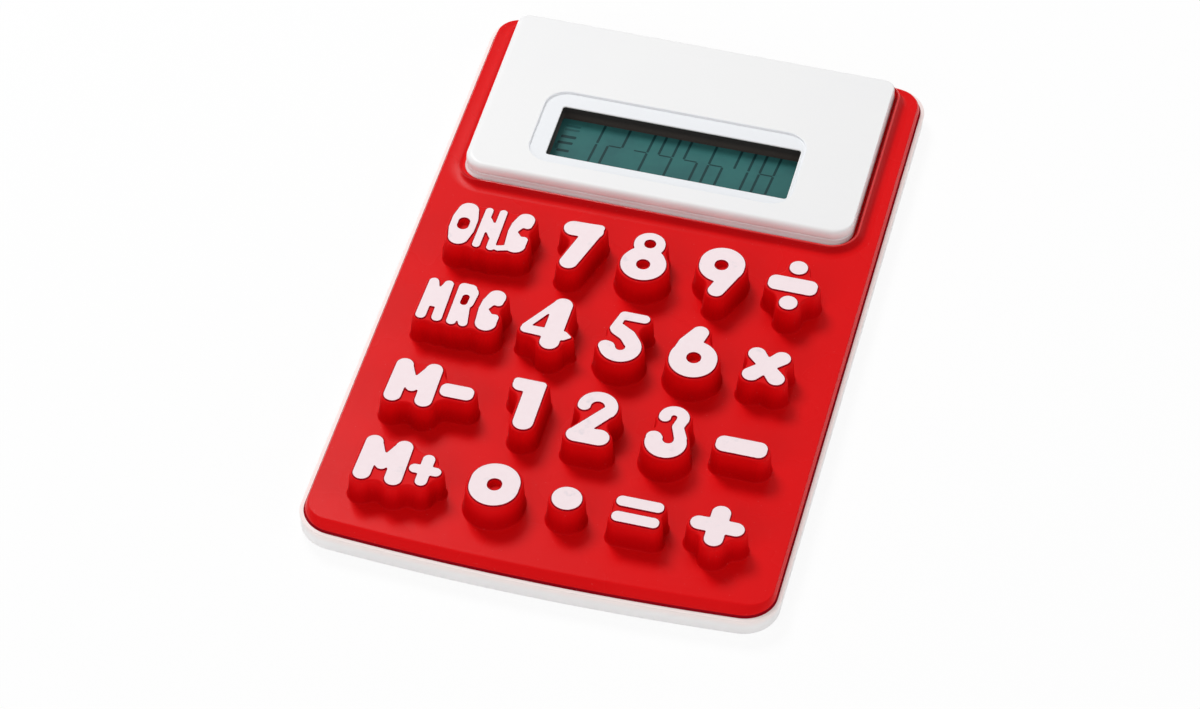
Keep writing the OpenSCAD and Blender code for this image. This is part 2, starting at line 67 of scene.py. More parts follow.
def place_camera():
    lens = bpy.data.cameras.new("camera")
    lens.lens = FOCAL_LENGTH
    lens.sensor_width = SENSOR_WIDTH
    lens.sensor_fit = "HORIZONTAL"
    lens.clip_start, lens.clip_end = 0.05, 20
    camera = bpy.data.objects.new("camera", lens)
    camera.matrix_world = Matrix([*zip(RIGHT, UP, BACK, CAMERA_AT), (0, 0, 0, 1)])
    bpy.context.scene.collection.objects.link(camera)
    bpy.context.scene.camera = camera
    return camera


camera = place_camera()
print("camera", [round(c, 3) for c in camera.location], "lens", camera.data.lens)

# %% [markdown]
# ## Shader arithmetic
# A procedural finish is a small sum: a base colour plus stains plus grain. Wiring Math nodes by hand hides that
# sum, so one class wraps a socket and lets Python's own operators add the nodes. Every other node goes
# through a single method that takes the node's type, its settings and its sockets.

# %% Wire and Paint
class Wire:
    """One output socket of a paint, ready for arithmetic."""

    def __init__(self, paint, socket):
        self.paint = paint
        self.socket = socket

    def math(self, kind, a, b):
        return self.paint.add("ShaderNodeMath", {"operation": kind}, {0: a, 1: b})

    def __add__(self, other):
        return self.math("ADD", self, other)

    def __sub__(self, other):
        return self.math("SUBTRACT", self, other)

    def __mul__(self, other):
        return self.math("MULTIPLY", self, other)

    def __radd__(self, other):
        return self.math("ADD", other, self)

    def __rsub__(self, other):
        return self.math("SUBTRACT", other, self)

    def __rmul__(self, other):
        return self.math("MULTIPLY", other, self)


class Paint:
    """A material, or the world, that is built up node by node."""

    # The Mix node's two inputs and its output for colours.
    MIX_A, MIX_B, MIX_OUT = 6, 7, 2

    def __init__(self, owner):
        owner.use_nodes = True
        self.owner = owner
        self.tree = owner.node_tree
        self.tree.nodes.clear()

    def add(self, kind, settings=None, sockets=None, out=0):
        """A node of a kind, with its settings made first and its sockets filled or wired after that."""
        node = self.tree.nodes.new(kind)
        for key, value in (settings or {}).items():
            setattr(node, key, value)
        for key, value in (sockets or {}).items():
            if isinstance(value, Wire):
                self.tree.links.new(value.socket, node.inputs[key])
            else:
                node.inputs[key].default_value = value
        return Wire(self, node.outputs[out]) if node.outputs else node

    def place(self):
        return self.add("ShaderNodeTexCoord", None, None, "Object")

    def noise(self, scale, detail=2.0, rough=0.5):
        """Soft patches, about so many to the metre."""
        return self.add("ShaderNodeTexNoise", None,
                        {"Vector": self.place(), "Scale": scale, "Detail": detail, "Roughness": rough}, "Fac")

    def ramp(self, value, low, high):
        """0 below low, 1 above high and a smooth step between them."""
        return self.add("ShaderNodeMapRange", {"interpolation_type": "SMOOTHSTEP"},
                        {"Value": value, "From Min": low, "From Max": high})

    def above(self, low, high):
        """0 below one height of a piece at rest, 1 above another; both in millimetres."""
        height = self.add("ShaderNodeSeparateXYZ", None, {"Vector": self.place()}, "Z")
        return self.ramp(height, low * MM, high * MM)

    def mix(self, amount, a, b):
        return self.add("ShaderNodeMix", {"data_type": "RGBA"},
                        {"Factor": amount, self.MIX_A: a, self.MIX_B: b}, self.MIX_OUT)

    def bump(self, relief, strength, depth):
        """A normal bent by a relief that is so many millimetres deep."""
        return self.add("ShaderNodeBump", None, {"Height": relief, "Strength": strength, "Distance": depth * MM})

    def finish(self, **sockets):
        """A principled surface; an underscore in a socket's name stands for a space."""
        named = {key.replace("_", " "): value for key, value in sockets.items()}
        shader = self.add("ShaderNodeBsdfPrincipled", None, named)
        self.add("ShaderNodeOutputMaterial", None, {"Surface": shader})
        return self.owner


def new_paint(name):
    return Paint(bpy.data.materials.new(name))


def tone(r, g, b):
    """A colour as a screen shows it, 0 to 255, in Blender's linear light."""
    shares = (r / 255, g / 255, b / 255)
    return (*(s / 12.92 if s < 0.0404 else ((s + 0.055) / 1.055) ** 2.4 for s in shares), 1)


print("wires and paints ready; a mid red is", [round(c, 3) for c in tone(220, 42, 43)[:3]])

# %% [markdown]
# ## Stage and light
# The photograph is a catalogue shot: white all round, one broad lamp behind and to the left, so that each key
# throws a soft shadow forward and to the right. The floor and the world show plain white to the camera. The
# floor still takes part of the object's shadow. Two weak fills stand for the white walls of a studio; glossy
# surfaces don't mirror them.

# %% Floor, world and lamps
FLOOR_HALF, FLOOR_DROP = 2, 0.00005
WHITE, PAPER = (1, 1, 1, 1), (0.94, 0.94, 0.94, 1)


def seen(paint):
    """1 for what the camera, a mirror or a clear pane looks at, 0 for light that only falls on the object."""
    rays = [paint.add("ShaderNodeLightPath", None, None, ray)
            for ray in ("Is Camera Ray", "Is Glossy Ray", "Is Transmission Ray")]
    return paint.add("ShaderNodeClamp", None, {"Value": rays[0] + rays[1] + rays[2]})


def make_floor(glow_share):
    """A sheet of paper that shows plain white by a share and the object's shadow with the rest."""
    mesh = bpy.data.meshes.new("floor")
    corners = [(x * FLOOR_HALF, y * FLOOR_HALF, 0) for x, y in ((-1, -1), (1, -1), (1, 1), (-1, 1))]
    mesh.from_pydata(corners, [], [(0, 1, 2, 3)])
    floor = bpy.data.objects.new("floor", mesh)
    floor.location.z = -FLOOR_DROP
    bpy.context.scene.collection.objects.link(floor)
    paint = new_paint("white_paper")
    paper = paint.add("ShaderNodeBsdfDiffuse", None, {"Color": PAPER})
    glow = paint.add("ShaderNodeEmission", None, {"Color": WHITE, "Strength": 1.0})
    both = paint.add("ShaderNodeMixShader", None, {0: seen(paint) * glow_share, 1: paper, 2: glow})
    paint.add("ShaderNodeOutputMaterial", None, {"Surface": both})
    mesh.materials.append(paint.owner)


def light_world(level):
    """White all round to look at, and a lower level of light on the object."""
    paint = Paint(bpy.data.worlds.new("white_room"))
    strength = level + (1 - level) * seen(paint)
    glow = paint.add("ShaderNodeBackground", None, {"Color": WHITE, "Strength": strength})
    paint.add("ShaderNodeOutputWorld", None, {"Surface": glow})
    bpy.context.scene.world = paint.owner


def hang_lamp(name, direction, distance, size, power, mirrored=True):
    """A round lamp that looks at the middle of the calculator from a direction."""
    lamp = bpy.data.lights.new(name, "AREA")
    lamp.shape = "DISK"
    lamp.size = size
    lamp.energy = power
    holder = bpy.data.objects.new(name, lamp)
    holder.visible_glossy = mirrored
    toward = np.array(direction, float) / np.linalg.norm(direction)
    side = np.cross((0, 0, 1), toward)
    side /= np.linalg.norm(side)
    columns = (side, np.cross(toward, side), toward, toward * distance)
    holder.matrix_world = Matrix([*np.stack(columns, 1).tolist(), (0, 0, 0, 1)])
    bpy.context.scene.collection.objects.link(holder)


make_floor(glow_share=0.9)
light_world(level=0.36)
hang_lamp("softbox", (-2.4, 2.8, 4.5), distance=1.1, size=0.42, power=7.1)
hang_lamp("front_fill", (-0.3, -0.9, 0.45), distance=1.2, size=0.9, power=3.7, mirrored=False)
hang_lamp("right_fill", (0.9, -0.15, 0.36), distance=1.2, size=0.9, power=3.0, mirrored=False)
bpy.context.scene.view_settings.view_transform = "Standard"
print("floor, world, softbox and two fills")

# %% [markdown]
# ## Finishes
# Moulded silicone is satin with a very fine grain and collects a little dust. The lower walls of the keys and the
# slopes of the ridge round the display are painted darker red by height, as painted shade, and the upper part of the
# white base is painted pink by height, as a painted reflection of the red mat. A crest that fingers rub shines more,
# also by height. The bezel is hard plastic with the sparkle texture that spark erosion leaves in a mould. The
# printed ink is matt, slightly uneven and rubbed grey in places. All of them use noise in the object's own space,
# so the grain keeps its size.

# %% Silicone, ink and plastic
# A span of heights above the whole calculator, for an effect that isn't wanted.
NEVER = (20, 30)
DUST = (0.9, 0.75, 0.72, 1)


def silicone(name, colour, deep, roughness, gloss, painted_light=None, rise=NEVER, fall=NEVER, crest=NEVER):
    """Moulded silicone; a tone of painted light comes in over one span of height and goes over another, and a crest
    shines.
    """
    paint = new_paint(name)
    cloud = paint.ramp(paint.noise(55, 3), 0.35, 0.68)
    dust = paint.ramp(paint.noise(2600, 1), 0.75, 0.8)
    base = paint.mix(cloud * 0.5, colour, deep)
    # Painted light by height: painted shade on the red pieces, a painted pink reflection of the red mat on the white
    # base.
    if painted_light:
        base = paint.mix(paint.above(*rise) * (1 - paint.above(*fall)), base, painted_light)
    base = paint.mix(dust * 0.06, base, DUST)
    grain = paint.noise(5200, 2) + paint.noise(420, 2) * 0.6
    return paint.finish(Base_Color=base, Roughness=roughness + 0.08 * cloud, Specular_IOR_Level=gloss,
                        Coat_Weight=paint.above(*crest) * 0.9, Coat_Roughness=0.2,
                        Normal=paint.bump(grain, strength=0.14, depth=0.06))


def ink(name, colour, worn):
    paint = new_paint(name)
    smudge = paint.ramp(paint.noise(330, 3, 0.6), 0.62, 0.76)
    mottle = paint.noise(1100, 3)
    base = paint.mix(mottle * 0.5, colour, worn)
    base = paint.mix(smudge * 0.4, base, tone(200, 196, 204))
    grain = paint.noise(3800, 3)
    return paint.finish(Base_Color=base, Roughness=0.5 + 0.14 * mottle, Specular_IOR_Level=0.3,
                        Normal=paint.bump(grain, strength=0.2, depth=0.05))


def moulded_plastic(name, colour, shade, roughness):
    paint = new_paint(name)
    cloud = paint.noise(40, 2)
    spark = paint.noise(4200, 2, 0.6)
    base = paint.mix(paint.ramp(cloud, 0.35, 0.7) * 0.6, colour, shade)
    return paint.finish(Base_Color=base, Roughness=roughness + 0.08 * cloud, Specular_IOR_Level=0.35,
                        Normal=paint.bump(spark, strength=0.12, depth=0.05))


RED, DEEP_RED = tone(223, 14, 18), tone(215, 10, 14)
# The mat's ridge is painted darker red from 5.37 mm up and back to plain red near its crest, as painted shade.
red_silicone = silicone("red_silicone", RED, DEEP_RED, 0.23, 0.07, tone(186, 2, 8),
                        rise=(5.37, 5.7), fall=(6.3, 6.45), crest=(6.28, 6.42))
# The key walls are painted darker red low down, fading out towards the top, as painted shade.
key_silicone = silicone("key_silicone", RED, DEEP_RED, 0.4, 0.05, tone(190, 2, 8), rise=(5.0, 5.6), fall=(6.4, 9.7))
# A dark red for the edges of the prints, also laid on the mat's foot as painted shade.
red_edge = silicone("red_edge", tone(152, 6, 24), tone(138, 4, 20), 0.55, 0.04)
# The upper part of the white base is painted pink, as a painted reflection of the red mat above it.
white_silicone = silicone("white_silicone", tone(248, 246, 246), tone(245, 242, 242), 0.48, 0.3,
                          tone(251, 238, 235), rise=(1.8, 3.4))
white_ink = ink("white_ink", tone(247, 231, 234), tone(240, 219, 223))
white_plastic = moulded_plastic("white_plastic", tone(240, 240, 240), tone(238, 238, 239), 0.36)
panel_plastic = moulded_plastic("panel_plastic", tone(237, 239, 242), tone(234, 236, 240), 0.28)
print("silicone, ink and plastic mixed")

# %% [markdown]
# ## Mesh tools
# Nearly every form here is a stack of closed outlines, each a little in or out from the one below: a wall,
# a rounded edge, a bead. The stack gives clean quads where the light rolls over an edge, and a flat region
# between outlines is filled by a constrained triangulation. The two together replace bevel modifiers, whose
# width would fail in the narrow notches of the figures.

# %% Shell builder
# Corners closer than the first are one spot, and a triangle thinner than the second is left out.
SAME_SPOT, SLIVER = 5e-5, 1e-6


class Shell:
    """Rings, strips between rings and flat fills, gathered into one mesh."""

    def __init__(self):
        self.points = []
        self.faces = []
        self.paint = []
        self.smooth = []

    def ring(self, xy, z):
        start = len(self.points)
        levels = np.broadcast_to(np.asarray(z, float), len(xy))
        self.points += [(p[0], p[1], level) for p, level in zip(xy, levels)]
        return list(range(start, len(self.points)))

    def face(self, corners, paint, smooth=True):
        self.faces.append(corners)
        self.paint.append(paint)
        self.smooth.append(smooth)

    def strip(self, low, high, paint=0):
        """Quads between two closed rings; seen from outside, low runs to the right."""
        for i in range(len(low)):
            j = (i + 1) % len(low)
            corners = [low[i], low[j], high[j], high[i]]
            spots = {tuple(round(c, 4) for c in self.points[k]) for k in corners}
            if len(spots) == 4:
                self.face(corners, paint)
            elif len(spots) == 3:
                kept = []
                for k in corners:
                    if all(np.abs(np.subtract(self.points[k], self.points[m])).max() > SAME_SPOT for m in kept):
                        kept.append(k)
                if len(kept) == 3:
                    self.face(kept, paint)

    def stack(self, rings, paint=0):
        for low, high in zip(rings, rings[1:]):
            self.strip(low, high, paint)

    def wall(self, outline, profile, paint=0):
        """A wall whose outline is drawn at each (margin, height) of a profile."""
        self.stack([self.ring(outline(margin), z) for margin, z in profile], paint)

    def fill(self, loops, z, wanted, paint=0, up=True):
        """Triangles over the flat region between loops, kept where wanted(x, y) holds."""
        xy = np.concatenate(loops)
        edges, start = [], 0
        for loop in loops:
            n = len(loop)
            edges += [(start + i, start + (i + 1) % n) for i in range(n)]
            start += n
        spots, _, triangles, _, _, _ = delaunay_2d_cdt([p.tolist() for p in xy], edges, [], 0, SLIVER)
        spots = np.array(spots)
        middles = np.array([spots[list(t)].mean(0) for t in triangles])
        keep = wanted(middles)
        index = self.ring(spots, z(spots) if callable(z) else z)
        for t, good in zip(triangles, keep):
            if good:
                (ax, ay), (bx, by), (cx, cy) = (spots[i] for i in t)
                turn = (bx - ax) * (cy - ay) - (by - ay) * (cx - ax)
                if abs(turn) > SLIVER:
                    order = t if (turn > 0) == up else t[::-1]
                    self.face([index[i] for i in order], paint, False)

    def plate(self, edge, holes, z, paint=0, up=True):
        """A flat plate inside an edge, less its holes."""
        within, opened = inside(edge), [inside(hole) for hole in holes]
        self.fill([edge, *holes], z, lambda p: within(p) & ~np.any([test(p) for test in opened], axis=0), paint, up)

    def piece(self, name, paints, body, slot, replaces=()):
        """The finished mesh as an object that rides a body of the frame."""
        mesh = bpy.data.meshes.new(name)
        used = sorted({i for f in self.faces for i in f})
        place = {old: new for new, old in enumerate(used)}
        mesh.from_pydata([[MM * c for c in self.points[i]] for i in used], [],
                         [[place[i] for i in f] for f in self.faces])
        for paint in paints:
            mesh.materials.append(paint)
        mesh.polygons.foreach_set("material_index", self.paint)
        mesh.polygons.foreach_set("use_smooth", self.smooth)
        made = bpy.data.objects.new(name, mesh)
        bpy.context.scene.collection.objects.link(made)
        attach(made, body)
        if replaces:
            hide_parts(*replaces)
        return made


def inside(loop):
    """A test of which points lie within a closed outline."""
    a, b = loop, np.roll(loop, -1, 0)

    def test(points):
        x, y = points[:, :1], points[:, 1:]
        crosses = (a[:, 1] > y) != (b[:, 1] > y)
        with np.errstate(divide="ignore", invalid="ignore"):
            at = a[:, 0] + (y - a[:, 1]) * (b[:, 0] - a[:, 0]) / (b[:, 1] - a[:, 1])
        return (crosses & (x < at)).sum(1) % 2 == 1
    return test


def rounded(width, length, radius, centre_y=0.0, steps=10, centre_x=0.0, back_radius=None):
    """A rounded rectangle, counterclockwise; its two back corners may have a radius of their own."""
    points = []
    for sx, sy, start in ((1, 1, 0), (-1, 1, 90), (-1, -1, 180), (1, -1, 270)):
        r = back_radius if back_radius and sy > 0 else radius
        for angle in np.radians(np.linspace(start, start + 90, steps)):
            points.append((centre_x + sx * (width / 2 - r) + r * math.cos(angle),
                           centre_y + sy * (length / 2 - r) + r * math.sin(angle)))
    return np.array(points)


def quarter_round(start, end, steps, level_first):
    """(margin, height) pairs along a quarter round that sets off level or upright."""
    turns = np.radians(np.linspace(0, 90, steps))
    early, late = np.sin(turns), 1 - np.cos(turns)
    aside, climb = (early, late) if level_first else (late, early)
    return [(start[0] + (end[0] - start[0]) * a, start[1] + (end[1] - start[1]) * c) for a, c in zip(aside, climb)]


print("shell tools ready")

# %% [markdown]
# ## White base
# The base is a thin silicone slab with straight sides, round corners and a front edge that bows out slightly.
# Its outline is the drawing's own: four corner arcs and one long front arc, all drawn in by the same
# margin. The lower edge is rounded, a fine lip runs along the top edge where the red mat is seated, and a well
# on the underside takes the rear cover.

# %% Base
BASE_W, BASE_L, BASE_H, CORNER, BOW = 78.0, 129.0, 3.6, 6.2, 1.2
HALF_CHORD = BASE_W / 2 - CORNER
BOW_R = (HALF_CHORD ** 2 + BOW ** 2) / (2 * BOW)
BEZEL_Y = 41.1
SIDE_INSET, HEEL = 0.14, 0.9
BASE_LIP = [(SIDE_INSET, 2.95), (0.07, 3.1), (0.0, 3.26), (0.0, 3.42), (0.05, 3.53), (0.16, BASE_H), (3.2, BASE_H)]
WELL_W, WELL_L, WELL_R, WELL_DEPTH = 65.6, 39.6, 2.5, 1.8


def body_outline(margin):
    """The case's outline drawn in by a margin, counterclockwise from the right end of the front arc."""
    r, big, half = CORNER - margin, BOW_R - margin, BASE_L / 2 - margin
    middle = big - half
    corner_y = middle - math.sqrt((big - r) ** 2 - HALF_CHORD ** 2)
    lean = math.degrees(math.asin(HALF_CHORD / (big - r)))

    def arc(x, y, radius, start, end, steps):
        turns = np.radians(np.linspace(start, end, steps))
        return np.stack([x + radius * np.cos(turns), y + radius * np.sin(turns)], 1)
    return np.concatenate([
        arc(HALF_CHORD, corner_y, r, 270 + lean, 360, 14),
        arc(HALF_CHORD, half - r, r, 0, 90, 14),
        arc(-HALF_CHORD, half - r, r, 90, 180, 14),
        arc(-HALF_CHORD, corner_y, r, 180, 270 - lean, 14),
        arc(0, middle, big, 270 - lean, 270 + lean, 26)[1:-1]])


def build_base():
    shell = Shell()
    heel = quarter_round((SIDE_INSET + HEEL, 0.0), (SIDE_INSET, HEEL), 7, level_first=True)
    shell.wall(body_outline, heel + BASE_LIP)
    well = rounded(WELL_W, WELL_L, WELL_R, BEZEL_Y)
    shell.plate(body_outline(SIDE_INSET + HEEL), [well], 0.0, up=False)
    shell.strip(shell.ring(well, WELL_DEPTH), shell.ring(well, 0.0))
    # The base's white silicone is painted pink towards its top edge, as a painted reflection of the red mat.
    return shell.piece("base", [white_silicone], "case", "white_silicone", ["base_tray"])


base = build_base()
print("base:", len(base.data.polygons), "faces")

# %% [markdown]
# ## Figures as distance fields
# The keys are the figures themselves, standing up from the mat. A figure is drawn with a round pen that may
# taper along a stroke, plus arcs and rounded bars, and its counters are cut out as eyes. The distance from
# any point to that drawing is easy to work out exactly, and the outline grown by any margin is a level line of it.
#
# A stroke or an eye is two discs, each x, y and radius. An arc is x, y, radius, half the pen's width and two
# angles. A bar is x, y, width, length and corner radius.

# %% Key table and distance field
class Figure(NamedTuple):
    """A key's place in the grid, its shift from there and the marks that draw it."""
    column: int
    row: int
    shift: tuple
    strokes: Sequence = ()
    arcs: Sequence = ()
    bars: Sequence = ()
    eyes: Sequence = ()


def big_m(x):
    return [(x - 2.4, 3.45, 1.4, x - 2.55, -3.45, 1.4), (x + 2.5, 3.45, 1.4, x + 2.6, -3.45, 1.4),
            (x - 2.3, 3.4, 1.25, x, -1, 1), (x + 2.4, 3.4, 1.25, x, -1, 1)]


def thin_m(x, y):
    return [(x - 1.25, y + 3.95, 0.8, x - 1.35, y - 3.95, 0.85), (x + 1.25, y + 3.95, 0.8, x + 1.35, y - 3.95, 0.85),
            (x - 1.15, y + 3.8, 0.75, x, y + 0.3, 0.75), (x + 1.2, y + 3.8, 0.75, x, y + 0.3, 0.75),
            (x - 0.4, y - 0.9, 0.8, x + 0.4, y - 0.9, 0.8)]


def thin_r(x, y):
    return [(x - 0.95, y + 4, 0.85, x - 0.95, y - 4.1, 0.8), (x - 0.95, y + 4, 0.85, x + 0.3, y + 3.85, 0.95),
            (x + 0.15, y + 2.85, 1.6, x + 0.05, y + 0.6, 1.5), (x, y - 0.6, 1.2, x + 1, y - 4.1, 0.75)]


def thin_c(x, y):
    return [(x + 0.4, y + 3.4, 1.5, x - 0.6, y + 1.9, 1.05), (x - 0.6, y + 1.9, 1.05, x - 1.1, y + 0.2, 0.72),
            (x - 1.1, y + 0.2, 0.72, x + 0.15, y - 2.85, 1.75), (x + 0.75, y + 3.2, 1.15, x + 1, y + 2.15, 0.75),
            (x + 0.05, y - 1.5, 0.75, x + 1.2, y - 1.3, 0.7), (x + 1.2, y - 1.3, 0.7, x + 0.6, y - 2.7, 1.25)]


def thin_o(x):
    return [(x, 3.3, 1.7, x, 1.2, 2.15), (x, 1.2, 2.15, x, -1.2, 2.15), (x, -1.2, 2.15, x, -3.3, 1.7)]


def thin_n(x):
    return [(x - 1.2, 4.1, 0.65, x - 1.3, -4.25, 0.65), (x + 1.2, 4.2, 0.65, x + 1.2, -4.3, 0.7),
            (x - 1, 1.7, 0.9, x + 1, -1.5, 0.9)]


COLUMNS = [-24.49, -9.4, 2.7, 14.8, 26.89]
ROWS = [4.6, -14.3, -33.1, -51.0]
FAR = 99.0
KEYS = {
    "on": Figure(0, 0, (-0.15, -0.15),
                 thin_o(-4.6) + thin_n(0) + thin_c(4.85, 0.1) + [(2.4, -4.2, 0.6, 4, -3.7, 0.6)],
                 eyes=[(-4.6, -0.45, 1, -4.6, 0.45, 1)]),
    "seven": Figure(1, 0, (-0.15, -0.15), [
        (-1.65, 3.8, 1.68, 1.7, 3.9, 1.68), (1.7, 3.9, 1.55, -0.55, -4.2, 1.5),
        (-1.5, 4.7, 0.75, 2.65, 4.95, 0.7), (2.65, 4.95, 0.7, 1.9, 1.5, 0.7)]),
    "eight": Figure(2, 0, (-0.75, 0.3), [(-0.05, 3.05, 2.6, -0.05, 2.8, 2.6), (0, -1.85, 3.8, 0, -1.35, 3.55)],
                    eyes=[(0, 3.1, 1, 0, 3, 1), (0, -1.9, 1.17, 0, -2, 1.17)]),
    "nine": Figure(3, 0, (-0.2, 0), [(0, 2, 3.75, 0, 1.4, 3.75), (2.25, 1, 1.45, 0.35, -4.4, 1.36)],
                   eyes=[(-0.1, 1.75, 1.17, -0.1, 1.6, 1.17)]),
    "divide": Figure(4, 0, (0, 0.2), [(0.1, 4.3, 1.5, 0.1, 4.15, 1.5), (0.15, -4.15, 1.5, 0.15, -4.3, 1.5)],
                     bars=[(0, 0, 8.2, 3.4, 1.3)]),
    "recall": Figure(0, 1, (0, 0.25), thin_m(-4.5, 0) + thin_r(0.3, 0) + thin_c(4.75, -0.25),
                     eyes=[(0.27, 1.75, 0.62, 0.22, 0.5, 0.62)]),
    "four": Figure(1, 1, (-0.25, 0), [
        (1.25, 4.4, 1.58, 1.15, -4.3, 1.6), (0.45, 4.85, 0.6, -3.5, -1.75, 0.6),
        (-3.3, -2.3, 0.9, 2.8, -2.4, 1.05), (2.8, -2.4, 1.05, 4.1, -2.4, 0.2)]),
    "five": Figure(2, 1, (0, 0), [
        (-0.75, 4.8, 0.93, 2.5, 4.8, 0.93), (-1.05, 4.9, 0.6, -1.75, 1.6, 0.75), (-1, 1.5, 1.35, 0.7, 0.5, 1.35),
        (0.7, 0.5, 1.35, 1.75, -0.85, 1.35), (-1.6, -3.15, 1.05, -2.2, -2.65, 1.2)],
        arcs=[(0.15, -2.25, 2.15, 1.3, -165, 40)]),
    "six": Figure(3, 1, (0.1, -0.15), [
        (0, -1.95, 3.9, 0, -1.5, 3.9), (-0.2, 4.45, 1.4, -1.35, 1.4, 1.85), (-1.35, 1.4, 1.85, -1.8, -1, 1.9)],
        eyes=[(0.05, -1.35, 1.22, 0.05, -1.45, 1.22)]),
    "times": Figure(4, 1, (-0.15, -0.3), [
        (x, y, 1.45, 0, 0, 1.15) for x, y in ((-2.05, 2.35), (2.05, 2.35), (-2.05, -2.35), (2.05, -2.35))]),
    "memory_minus": Figure(0, 2, (0.3, -0.1), big_m(-3.05), bars=[(4.25, -0.25, 5.5, 2.9, 1.15)]),
    "one": Figure(1, 2, (0.3, -0.1), [
        (1.05, 3.6, 1.65, 1.05, -3.85, 1.65), (-1.4, 4.05, 1.3, 1, 4.05, 1.3),
        (-1.95, 4.75, 0.75, 2, 4.75, 0.72), (2, 4.75, 0.7, 2, 1, 0.7)]),
    "two": Figure(2, 2, (-0.1, -0.1), [(1.95, 1.85, 1.15, -1.85, -3.65, 1.2), (-1.95, -4.2, 1.5, 1.8, -3.95, 1.72)],
                  arcs=[(0.05, 2.6, 2.2, 1.05, -24, 186)]),
    "three": Figure(3, 2, (0, 0.1), [
        (1.66, 3.04, 0.95, 1.25, 1.4, 0.92), (1.25, 1.4, 0.92, 2.2, -0.9, 1), (-1.95, -2.4, 1.2, -1.95, -1.65, 1.28)],
        arcs=[(0.2, 3.3, 1.48, 0.98, -10, 190), (0.12, -2.35, 2.45, 0.9, -178, 32),
              (0.35, -1.6, 1.67, 0.75, -180, 10)]),
    "minus": Figure(4, 2, (-0.1, 0), bars=[(0, 0, 8.3, 3.4, 1.35)]),
    "memory_plus": Figure(0, 3, (0.1, 0.15), big_m(-2.8) + [
        (4.15, 1.95, 0.98, 4.15, -2.85, 0.95), (2.5, -0.4, 0.92, 5.85, -0.4, 0.92)]),
    "zero": Figure(1, 3, (0.5, -0.3), [(0, 0.54, 3.95, 0, -0.54, 3.95)], eyes=[(0, 0.12, 1.2, 0, -0.12, 1.2)]),
    "point": Figure(2, 3, (0.1, -0.15), [(0, 0.02, 2.4, 0, -0.02, 2.4)]),
    "equals": Figure(3, 3, (-0.6, 0), bars=[(0, 1.67, 7.6, 2.12, 0.95), (0, -1.67, 7.6, 2.12, 0.95)]),
    "plus": Figure(4, 3, (0, 0.4), [(-2.9, 0, 1.42, 2.9, 0, 1.42), (0, 2.8, 1.5, 0, -2.8, 1.5)]),
}


def to_stroke(p, stroke):
    """Distance to a tapered stroke: two discs and the straight band that touches both."""
    ax, ay, ra, bx, by, rb = stroke
    start = np.array([ax, ay], float)
    run = np.array([bx, by], float) - start
    length = np.linalg.norm(run)
    u = run / length
    along = (p - start) @ u
    aside = np.abs((p - start) @ np.array([-u[1], u[0]]))
    slope = (ra - rb) / length
    flat = math.sqrt(1 - slope * slope)
    reach = flat * along - slope * aside
    band = flat * aside + slope * along - ra
    first, last = np.hypot(along, aside) - ra, np.hypot(along - length, aside) - rb
    return np.where(reach < 0, first, np.where(reach > flat * length, last, band))


def to_arc(p, arc):
    """Distance to a bent stroke with round ends."""
    x, y, radius, half, start, end = arc
    q = p - np.array([x, y])
    turn = np.degrees(np.arctan2(q[:, 1], q[:, 0]))
    off = np.abs((turn - (start + end) / 2 + 180) % 360 - 180)
    body = np.abs(np.hypot(q[:, 0], q[:, 1]) - radius)
    ends = [np.hypot(q[:, 0] - radius * math.cos(t), q[:, 1] - radius * math.sin(t))
            for t in (math.radians(start), math.radians(end))]
    return np.where(off <= (end - start) / 2, body, np.minimum(*ends)) - half


def to_bar(p, bar):
    """Distance to a rounded bar."""
    x, y, width, length, corner = bar
    q = np.abs(p - np.array([x, y])) - np.array([width, length]) / 2 + corner
    return np.hypot(*np.maximum(q, 0).T) + np.minimum(q.max(1), 0) - corner


def figure_field(key):
    """A key's centre, the distance to its figure and the distance to its eyes."""
    plan = KEYS[key]
    centre = np.array([COLUMNS[plan.column], ROWS[plan.row]]) + plan.shift
    marks = [(way, mark) for way, kind in ((to_stroke, plan.strokes), (to_arc, plan.arcs), (to_bar, plan.bars))
             for mark in kind]

    def figure(points):
        return np.min([way(points - centre, mark) for way, mark in marks], axis=0)

    def eye(points):
        return np.min([to_stroke(points - centre, s) for s in plan.eyes] + [np.full(len(points), FAR)], axis=0)
    return centre, figure, eye


middle, minus_sign, _ = figure_field("minus")
print(len(KEYS), "figures; 5 mm right of its middle the minus sign is",
      round(float(minus_sign(middle[None] + (5, 0))[0]), 2), "mm away")

# %% [markdown]
# ## From field to outlines
# Marching squares finds the level line on a grid. Its points are then carried along the slope of the field,
# inwards or outwards, to make the next ring of an edge or a wall. Thick rubber can't follow a narrow notch, so the
# body under a figure is the figure with its gaps closed: grown by a distance and drawn back by as much.

# %% Level lines
# For each pattern of corners inside the line, the sides of a cell where it comes in and goes out.
TURNS = {1: "BL", 2: "RB", 3: "RL", 4: "TR", 5: "BLTR", 6: "TB", 7: "TL", 8: "LT", 9: "BT", 10: "RBLT", 11: "RT",
         12: "LR", 13: "BR", 14: "LB"}
# A point's longest move, its moves to each level, the fewest points of a loop, and the two closing distances.
STRIDE, TRIES, FEWEST = 0.12, 3, 12
NOTCH, FILL = 0.12, 2.4


def slope_of(field, p, step=0.002):
    gx = field(p + (step, 0)) - field(p - (step, 0))
    gy = field(p + (0, step)) - field(p - (0, step))
    size = np.maximum(np.hypot(gx, gy), 1e-9)
    return np.stack([gx / size, gy / size], 1)


